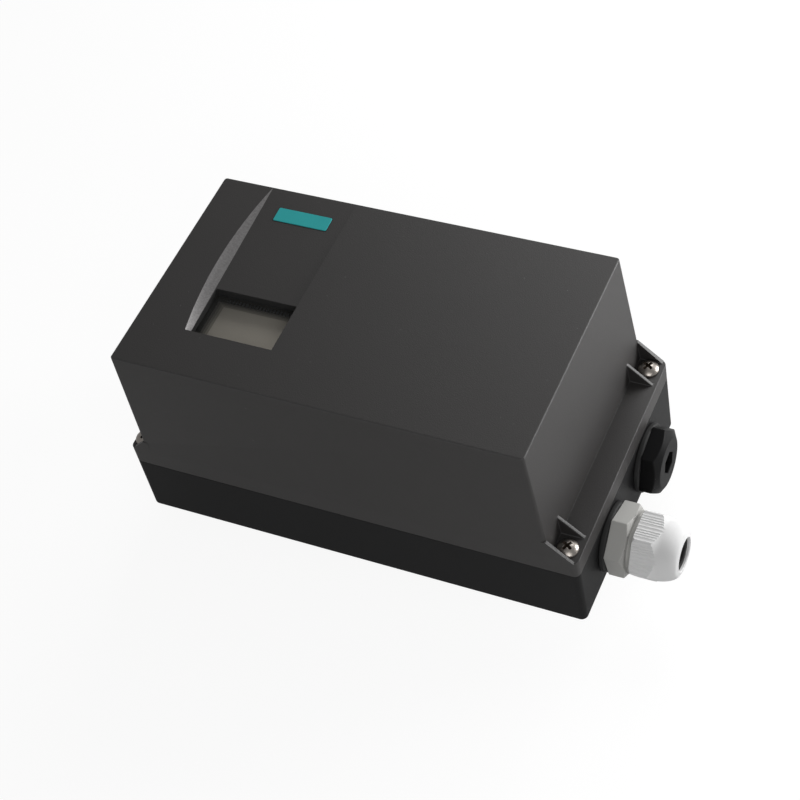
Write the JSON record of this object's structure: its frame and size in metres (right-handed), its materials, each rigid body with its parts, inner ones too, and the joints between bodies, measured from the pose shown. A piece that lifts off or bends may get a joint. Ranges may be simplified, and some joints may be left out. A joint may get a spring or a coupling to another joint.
{
  "type": "valve positioner",
  "caption": "Electropneumatic valve positioner: boxy cover with display window over a black base, cable gland, blanking plug, air ports and a rear feedback shaft.",
  "frame": {"origin": "axis of the feedback shaft, on the rear mounting face", "axes": "+X along the enclosure to the cable end, +Y across it, +Z from the mounting face to the cover"},
  "size_m": [0.2123, 0.095, 0.1036],
  "materials": {
    "base_plastic": "fine spark-eroded moulded black",
    "cover_plastic": "fine spark-eroded moulded anthracite",
    "window_clear": "clear polished",
    "badge_teal": "satin teal plate, bare",
    "gland_grey": "satin moulded light grey",
    "plug_black": "satin moulded black",
    "rubber_black": "matt black",
    "stainless": "bright stainless",
    "brass": "turned brass",
    "bronze": "sintered bronze",
    "aluminium": "clear anodised",
    "dark_aluminium": "grey anodised",
    "silencer_white": "porous sintered plastic",
    "gear_white": "natural acetal",
    "wheel_yellow": "moulded yellow",
    "pot_blue": "moulded blue",
    "selector_red": "moulded red",
    "board_green": "solder-masked laminate",
    "module_grey": "moulded grey",
    "frame_black": "moulded black",
    "display_grey": "reflective liquid crystal glass",
    "key_light": "moulded light grey",
    "terminal_green": "moulded green"
  },
  "bodies": {
    "base": {"enclosure_base": "base_plastic", "cover_gasket": "rubber_black", "cover_inserts": "brass", "gland_body": "gland_grey", "gland_washer": "rubber_black", "gland_seal": "rubber_black", "blanking_plug": "plug_black", "plug_washer": "rubber_black", "port_strip": "aluminium", "strip_gasket": "rubber_black", "strip_screws": "stainless", "silencer": "silencer_white", "bracket_inserts": "brass", "shaft_bush": "bronze", "shaft_seal": "rubber_black", "pot_body": "pot_blue", "manifold": "dark_aluminium", "manifold_gasket": "rubber_black", "valve_block": "module_grey", "pilot_valves": "frame_black", "main_board": "board_green", "board_standoffs": "brass", "board_screws": "stainless", "module_cover": "module_grey", "display": "display_grey", "display_frame": "frame_black", "display_board": "board_green", "key_switches": "frame_black", "terminal_block": "terminal_green", "terminal_screws": "stainless", "ratio_rail": "frame_black"},
    "cover": {"enclosure_cover": "cover_plastic", "cover_screws": "stainless", "window_pane": "window_clear", "badge_plate": "badge_teal"},
    "nut": {"gland_nut": "gland_grey"},
    "shaft": {"feedback_shaft": "stainless", "shaft_circlips": "stainless", "clutch_hub": "brass", "drive_gear": "gear_white", "clutch_spring": "stainless", "clutch_wheel": "wheel_yellow"},
    "pot": {"pot_pinion": "gear_white"},
    "restrictor_screw_1": {"restrictor_1": "brass"},
    "restrictor_screw_2": {"restrictor_2": "brass"},
    "purge": {"purge_selector": "selector_red"},
    "hand": {"key_hand": "key_light"},
    "minus": {"key_minus": "key_light"},
    "plus": {"key_plus": "key_light"},
    "ratio": {"ratio_selector": "wheel_yellow"}
  },
  "joints": [
    {"name": "cover_lift", "type": "slide", "parent": "base", "child": "cover", "axis": [0, 0, 1], "range_m": [0, 0.095]},
    {"name": "shaft_turn", "type": "hinge", "parent": "base", "child": "shaft", "pos_m": [0, 0, 0], "axis": [0, 0, 1], "range_deg": [-50, 50]},
    {"name": "pot_turn", "type": "hinge", "parent": "base", "child": "pot", "pos_m": [-0.032, 0, 0], "axis": [0, 0, 1], "range_deg": [-150, 150]},
    {"name": "gland_nut_turn", "type": "hinge", "parent": "base", "child": "nut", "pos_m": [0.087, -0.0185, 0.0135], "axis": [1, 0, 0], "range_deg": [-360, 360]},
    {"name": "restrictor_1_turn", "type": "hinge", "parent": "base", "child": "restrictor_screw_1", "pos_m": [-0.1085, -0.032, 0.0135], "axis": [1, 0, 0], "range_deg": [0, 720]},
    {"name": "restrictor_2_turn", "type": "hinge", "parent": "base", "child": "restrictor_screw_2", "pos_m": [-0.1085, 0.032, 0.0135], "axis": [1, 0, 0], "range_deg": [0, 720]},
    {"name": "purge_turn", "type": "hinge", "parent": "base", "child": "purge", "pos_m": [-0.056, 0.0294, 0.04], "axis": [0, 0, 1], "range_deg": [0, 90]},
    {"name": "hand_press", "type": "slide", "parent": "base", "child": "hand", "axis": [0, 0, -1], "range_m": [0, 0.001], "stiffness_N_per_m": 400, "springref_m": -0.001},
    {"name": "minus_press", "type": "slide", "parent": "base", "child": "minus", "axis": [0, 0, -1], "range_m": [0, 0.001], "stiffness_N_per_m": 400, "springref_m": -0.001},
    {"name": "plus_press", "type": "slide", "parent": "base", "child": "plus", "axis": [0, 0, -1], "range_m": [0, 0.001], "stiffness_N_per_m": 400, "springref_m": -0.001},
    {"name": "ratio_slide", "type": "slide", "parent": "base", "child": "ratio", "axis": [1, 0, 0], "range_m": [0, 0.006]}
  ],
  "couplings": [
    {"joint": "pot_turn", "follows": "shaft_turn", "ratio": -3}
  ]
}
